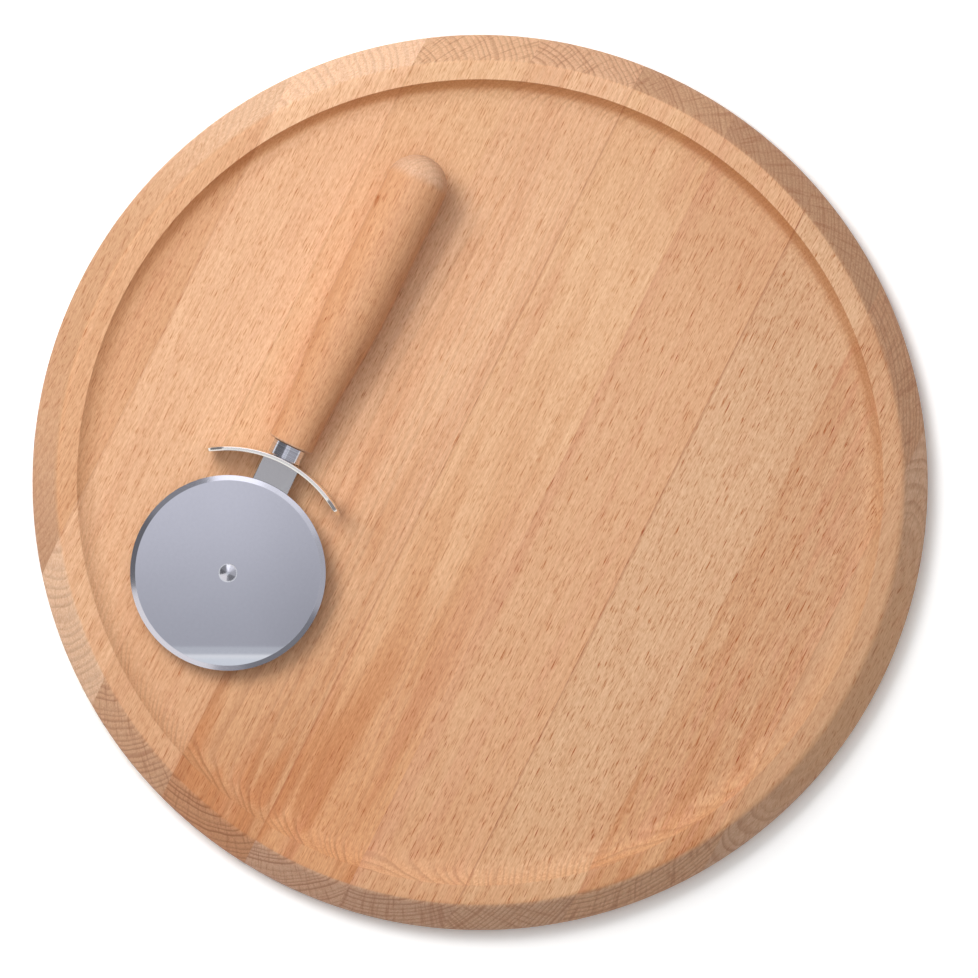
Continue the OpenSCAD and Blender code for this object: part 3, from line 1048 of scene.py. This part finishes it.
class StageMaker(bpy.types.Operator):
    """Set up the floor, the light and the camera"""

    bl_idname = "pizza_board.stage"
    bl_label = "Studio"

    def execute(self, context):
        stage = settings("stage")
        self.add_camera(stage)
        self.add_floor(stage)
        self.add_lamps(stage)
        self.add_world(stage)
        self.add_cards(stage)
        context.scene.view_settings.view_transform = "Standard"
        return {"FINISHED"}

    def add_camera(self, stage):
        start_fresh()
        bpy.ops.object.camera_add(location=(stage.camera_x, stage.camera_y, stage.camera_height))
        camera = bpy.context.object
        lens = camera.data
        pixels_per_metre = (stage.camera_height - stage.focus_height) / stage.pixel_w
        lens.lens = pixels_per_metre * lens.sensor_width / IMAGE_PIXELS
        lens.clip_end = stage.camera_height * 10
        bpy.context.scene.camera = camera

    def add_floor(self, stage):
        """A white floor, plain white where it lies farther from the board than the board's shadow."""
        start_fresh()
        bpy.ops.mesh.primitive_plane_add(size=stage.floor_w)
        floor = bpy.context.object
        floor.name = "studio_floor"
        paint = Paint(bpy.data.materials.new("studio_floor"))
        place = paint.place()
        shown = paint.shown()
        grain = paint.cloud(place, (0.02, 0.02, 0.02)) * 0.01
        level = stage.floor_level + grain + shown * (stage.floor_lift - stage.floor_level)
        lit = paint.add("BsdfDiffuse", {}, {"Color": paint.scaled(WHITE, level)})
        white = paint.add("Emission", {}, {"Color": WHITE})
        east, north, _ = paint.split(place)
        far = paint.smooth(paint.hypot(east, north), stage.floor_near / MM, stage.floor_far / MM)
        shader = paint.add("MixShader", {}, {0: far * shown, 1: lit, 2: white})
        floor.data.materials.append(paint.finish(shader))

    def add_lamp(self, name, turn, rise, distance, size, level):
        """A square lamp that gives a face turned to it a share of full light. Gloss doesn't show it."""
        flat = math.cos(rise)
        way = Vector((flat * math.cos(turn), flat * math.sin(turn), math.sin(rise)))
        start_fresh()
        bpy.ops.object.light_add(type="AREA", location=way * distance)
        lamp = bpy.context.object
        lamp.name = name
        lamp.rotation_euler = way.to_track_quat("Z", "Y").to_euler()
        lamp.data.shape = "SQUARE"
        lamp.data.size = size
        lamp.data.energy = level * math.pi ** 2 * distance ** 2
        lamp.visible_glossy = False

    def add_lamps(self, stage):
        turn = stage.lamp_turn
        self.add_lamp("key", turn, stage.key_rise, stage.key_distance, stage.key_size, stage.key_level)
        self.add_lamp(
            "top_light", turn, stage.top_rise, stage.top_distance, stage.top_size, stage.top_level)

    def add_world(self, stage):
        """A plain sky for light, and white wherever the camera looks."""
        world = bpy.data.worlds.new("studio")
        bpy.context.scene.world = world
        paint = Paint(world)
        level = stage.sky_level + paint.shown() * (1 - stage.sky_level)
        paint.finish(paint.add("Background", {}, {"Color": WHITE, "Strength": level}))

    def seen_in_wheel(self, stage, drop):
        """Where the camera looks among the cards, by way of the wheel so far below its middle."""
        sizes = settings("cutter")
        place = cutter_place(sizes)
        camera = Vector((stage.camera_x, stage.camera_y, stage.camera_height))
        spot = place @ (Z_AXIS * (wheel_low(sizes) + sizes.wheel_t)) - Vector((0, drop, 0))
        way = (spot - camera).reflect(place.to_3x3() @ Z_AXIS)
        return spot + way * (stage.card_height - spot.z) / way.z

    def add_card(self, name, stage, near, far, drop, start, end, paint_light):
        """A card over the table, spun from start to end in degrees. It shows in gloss alone."""
        side = Vector((math.cos(math.radians(start)), math.sin(math.radians(start)), 0))
        piece = draw_line(name, [side * near, side * far - Z_AXIS * drop])
        bpy.ops.mesh.spin(steps=48, angle=math.radians(end - start), center=(0, 0, 0), axis=(0, 0, -1))
        bpy.ops.object.mode_set(mode="OBJECT")
        piece.location = self.seen_in_wheel(stage, 0.0)
        paint = Paint(bpy.data.materials.new(name))
        light = paint.add("Emission", {}, {"Color": paint_light(paint)})
        piece.data.materials.append(paint.finish(light))
        piece.visible_camera = False
        piece.visible_diffuse = False
        piece.visible_shadow = False

    def add_cards(self, stage):
        """A grey ceiling over the wheel with a pale band, and a tent of pale and dark cards round it."""
        middle = self.seen_in_wheel(stage, 0.0)
        band = (self.seen_in_wheel(stage, stage.band_drop) - middle).y / MM
        step = stage.band_step / MM
        drop = stage.card_height - stage.card_low

        def ceiling(paint):
            across, along, _ = paint.split(paint.place())
            grey = paint.mix(paint.smooth(along, *CEILING_FADE), CEILING_NEAR, CEILING_FAR)
            grey = paint.scaled(grey, 1 - 0.15 * paint.smooth(across, *CEILING_DIM))
            past = band - along
            grey = paint.mix(paint.smooth(past, -3 * step, -2 * step) * 0.35, grey, BAND)
            pale = paint.mix(paint.smooth(past, step, 3 * step), BAND_LINE, BAND)
            return paint.mix(paint.smooth(past, 0.0, step), grey, pale)

        self.add_card("ceiling_card", stage, 0.0, stage.card_near, 0.0, 0, 360, ceiling)
        for start, end, level, tint in RING_CARDS:
            light = [level * part for part in tint]
            self.add_card(
                f"ring_card_{start}", stage, stage.card_near, stage.card_far, drop, start, end,
                lambda paint: light)


class PizzaBoardPanel(bpy.types.Panel):
    """Buttons and settings of the pizza board"""

    bl_idname = "VIEW3D_PT_pizza_board"
    bl_label = "Pizza board"
    bl_space_type = "VIEW_3D"
    bl_region_type = "UI"
    bl_category = "Pizza board"

    def draw(self, context):
        for maker in MAKERS:
            self.layout.operator(maker.bl_idname)
        for group, kind in GROUPS.items():
            box = self.layout.box()
            for name in kind.__annotations__:
                box.prop(settings(group), name)


MAKERS = [StaveMaker, HandleMaker, CollarMaker, GuardMaker, ArmMaker, WheelMaker, RivetMaker, StageMaker]


def register():
    for kind in (*GROUPS.values(), *MAKERS, PizzaBoardPanel):
        bpy.utils.register_class(kind)
    for group, kind in GROUPS.items():
        setattr(bpy.types.Scene, "pizza_board_" + group, PointerProperty(type=kind))


def unregister():
    for group in GROUPS:
        delattr(bpy.types.Scene, "pizza_board_" + group)
    for kind in reversed((*GROUPS.values(), *MAKERS, PizzaBoardPanel)):
        bpy.utils.unregister_class(kind)


def main():
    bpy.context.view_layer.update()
    register()
    for maker in MAKERS:
        group, call = maker.bl_idname.split(".")
        getattr(getattr(bpy.ops, group), call)()


if __name__ == "__main__":
    main()
